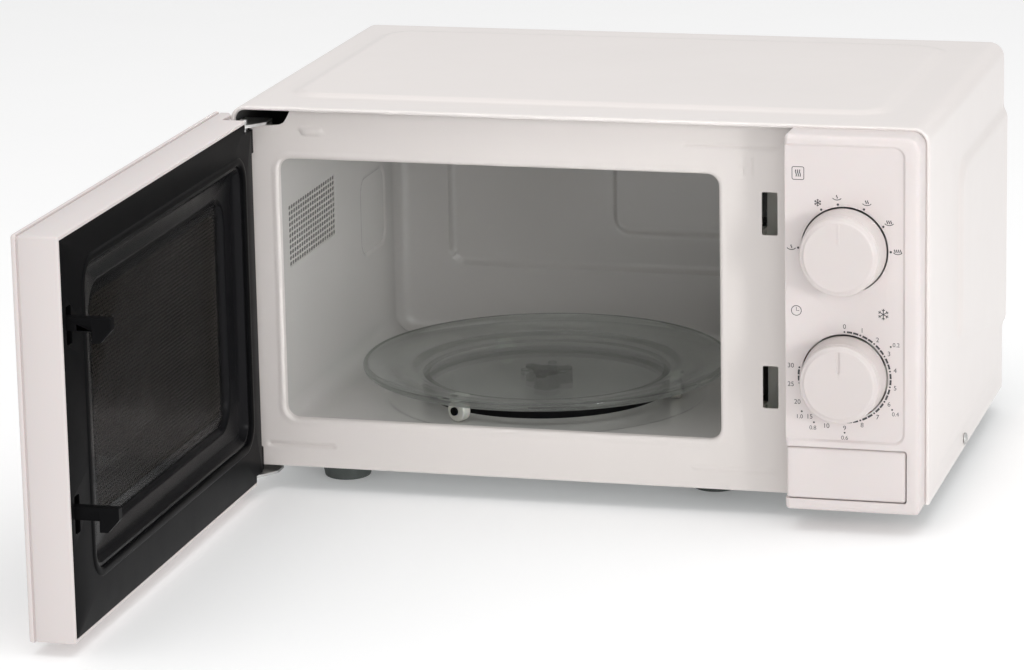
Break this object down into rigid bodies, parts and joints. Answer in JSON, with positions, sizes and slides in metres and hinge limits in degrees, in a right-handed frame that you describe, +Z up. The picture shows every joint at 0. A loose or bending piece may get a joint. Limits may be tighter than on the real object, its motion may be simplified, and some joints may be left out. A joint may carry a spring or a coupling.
{
  "type": "microwave oven",
  "caption": "Counter-top microwave oven with a side-hinged door, two round dials, a push-button door release and a glass turntable on a roller ring.",
  "frame": {"origin": "on the surface the feet stand on, under the middle of the box that holds the oven and its open door", "axes": "+Z up, +Y from the door side to the back, +X from the hinge side to the dials"},
  "size_m": [0.4676, 0.6528, 0.2578],
  "materials": {
    "white_paint": "satin white baked enamel on steel sheet",
    "flange_paint": "satin off-white enamel",
    "chamber_paint": "semi-gloss light grey chamber enamel",
    "zinc": "galvanised steel",
    "rubber": "matt dark grey rubber",
    "steel": "plain rolled steel",
    "mica": "pressed mica sheet",
    "winding": "laminated core with varnished copper windings",
    "black_plastic": "glossy black moulding",
    "white_nylon": "natural white nylon",
    "lamp_glass": "clear lamp glass",
    "board": "phenolic circuit board",
    "white_plastic": "fine matt warm white moulding",
    "plate_glass": "clear pressed glass",
    "film": "clear plastic film",
    "tinted_glass": "dark tinted glass",
    "black_enamel": "gloss black enamel on steel"
  },
  "bodies": {
    "cabinet": {"outer_cover": "white_paint", "front_plate": "flange_paint", "chamber_liner": "chamber_paint", "base_plate": "zinc", "rear_plate": "zinc", "foot_front_left": "rubber", "foot_front_right": "rubber", "foot_rear_left": "rubber", "foot_rear_right": "rubber", "cover_screw_right": "steel", "cover_screw_left": "steel", "rear_screw_1": "steel", "rear_screw_2": "steel", "rear_screw_3": "steel", "hinge_plate_upper": "steel", "hinge_plate_lower": "steel", "waveguide": "zinc", "waveguide_cover": "mica", "magnetron": "steel", "transformer": "winding", "capacitor": "steel", "rectifier": "black_plastic", "fan_duct": "white_nylon", "fan_motor": "steel", "turntable_motor": "steel", "chamber_lamp": "lamp_glass", "filter_board": "board", "cord_inlet": "black_plastic", "control_panel": "white_plastic", "power_selector": "white_nylon", "timer_unit": "white_nylon", "button_spring": "steel", "latch_board": "white_nylon", "switch_upper": "black_plastic", "switch_lower": "black_plastic", "switch_monitor": "black_plastic"},
    "door": {"door_shell": "white_plastic", "door_glass": "tinted_glass", "door_frame": "black_enamel", "door_screen": "black_enamel", "screen_film": "film", "choke_cover": "black_plastic", "latch_spring": "steel"},
    "latch": {"latch_plate": "black_plastic"},
    "button": {"door_button": "white_plastic"},
    "lever": {"release_lever": "white_nylon"},
    "power_dial": {"power_knob": "white_plastic", "power_shaft": "steel"},
    "timer_dial": {"timer_knob": "white_plastic", "timer_shaft": "steel"},
    "turntable": {"drive_coupler": "black_plastic"},
    "plate": {"glass_plate": "plate_glass"},
    "ring": {"roller_ring": "black_plastic"},
    "wheel_1": {"roller_1": "white_nylon"},
    "wheel_2": {"roller_2": "white_nylon"},
    "wheel_3": {"roller_3": "white_nylon"},
    "fan": {"fan_blade": "white_nylon"}
  },
  "joints": [
    {"name": "door_hinge", "type": "hinge", "parent": "cabinet", "child": "door", "pos_m": [-0.2113, 0.026, 0.129], "axis": [0, 0, 1], "range_deg": [-6, 90]},
    {"name": "latch_slide", "type": "slide", "parent": "door", "child": "latch", "axis": [0, 0, 1], "range_m": [0, 0.004], "stiffness_N_per_m": 150, "springref_m": -0.004, "deforming": ["latch_spring"]},
    {"name": "button_press", "type": "slide", "parent": "cabinet", "child": "button", "axis": [0, 1, 0], "range_m": [0, 0.005], "stiffness_N_per_m": 300, "springref_m": -0.003, "deforming": ["button_spring"]},
    {"name": "lever_tilt", "type": "hinge", "parent": "cabinet", "child": "lever", "pos_m": [0.1543, 0.0255, 0.066], "axis": [1, 0, 0], "range_deg": [0, 15]},
    {"name": "power_turn", "type": "hinge", "parent": "cabinet", "child": "power_dial", "pos_m": [0.1817, -0.0065, 0.182], "axis": [0, 1, 0], "range_deg": [-90, 90]},
    {"name": "timer_turn", "type": "hinge", "parent": "cabinet", "child": "timer_dial", "pos_m": [0.1817, -0.0065, 0.1013], "axis": [0, 1, 0], "range_deg": [0, 284]},
    {"name": "turntable_spin", "type": "hinge", "parent": "cabinet", "child": "turntable", "pos_m": [-0.0503, 0.1625, 0.046], "axis": [0, 0, 1], "continuous": true},
    {"name": "plate_lift", "type": "slide", "parent": "turntable", "child": "plate", "axis": [0, 0, 1], "range_m": [0, 0.06]},
    {"name": "ring_spin", "type": "hinge", "parent": "cabinet", "child": "ring", "pos_m": [-0.0503, 0.1625, 0.04555], "axis": [0, 0, 1], "continuous": true},
    {"name": "fan_spin", "type": "hinge", "parent": "cabinet", "child": "fan", "pos_m": [0.1737, 0.3055, 0.168], "axis": [0, 1, 0], "continuous": true},
    {"name": "wheel_1_spin", "type": "hinge", "parent": "ring", "child": "wheel_1", "pos_m": [0.03705, 0.16769, 0.04555], "axis": [0.9982, 0.0593, 0], "continuous": true},
    {"name": "wheel_2_spin", "type": "hinge", "parent": "ring", "child": "wheel_2", "pos_m": [-0.09847, 0.23555, 0.04555], "axis": [-0.5505, 0.8348, 0], "continuous": true},
    {"name": "wheel_3_spin", "type": "hinge", "parent": "ring", "child": "wheel_3", "pos_m": [-0.08948, 0.08426, 0.04555], "axis": [-0.4478, -0.8942, 0], "continuous": true}
  ],
  "couplings": [
    {"joint": "lever_tilt", "follows": "button_press", "rad_per_m": 50.6},
    {"joint": "ring_spin", "follows": "turntable_spin", "ratio": 0.5},
    {"joint": "wheel_1_spin", "follows": "turntable_spin", "ratio": -6.0764},
    {"joint": "wheel_2_spin", "follows": "turntable_spin", "ratio": -6.0764},
    {"joint": "wheel_3_spin", "follows": "turntable_spin", "ratio": -6.0764}
  ]
}
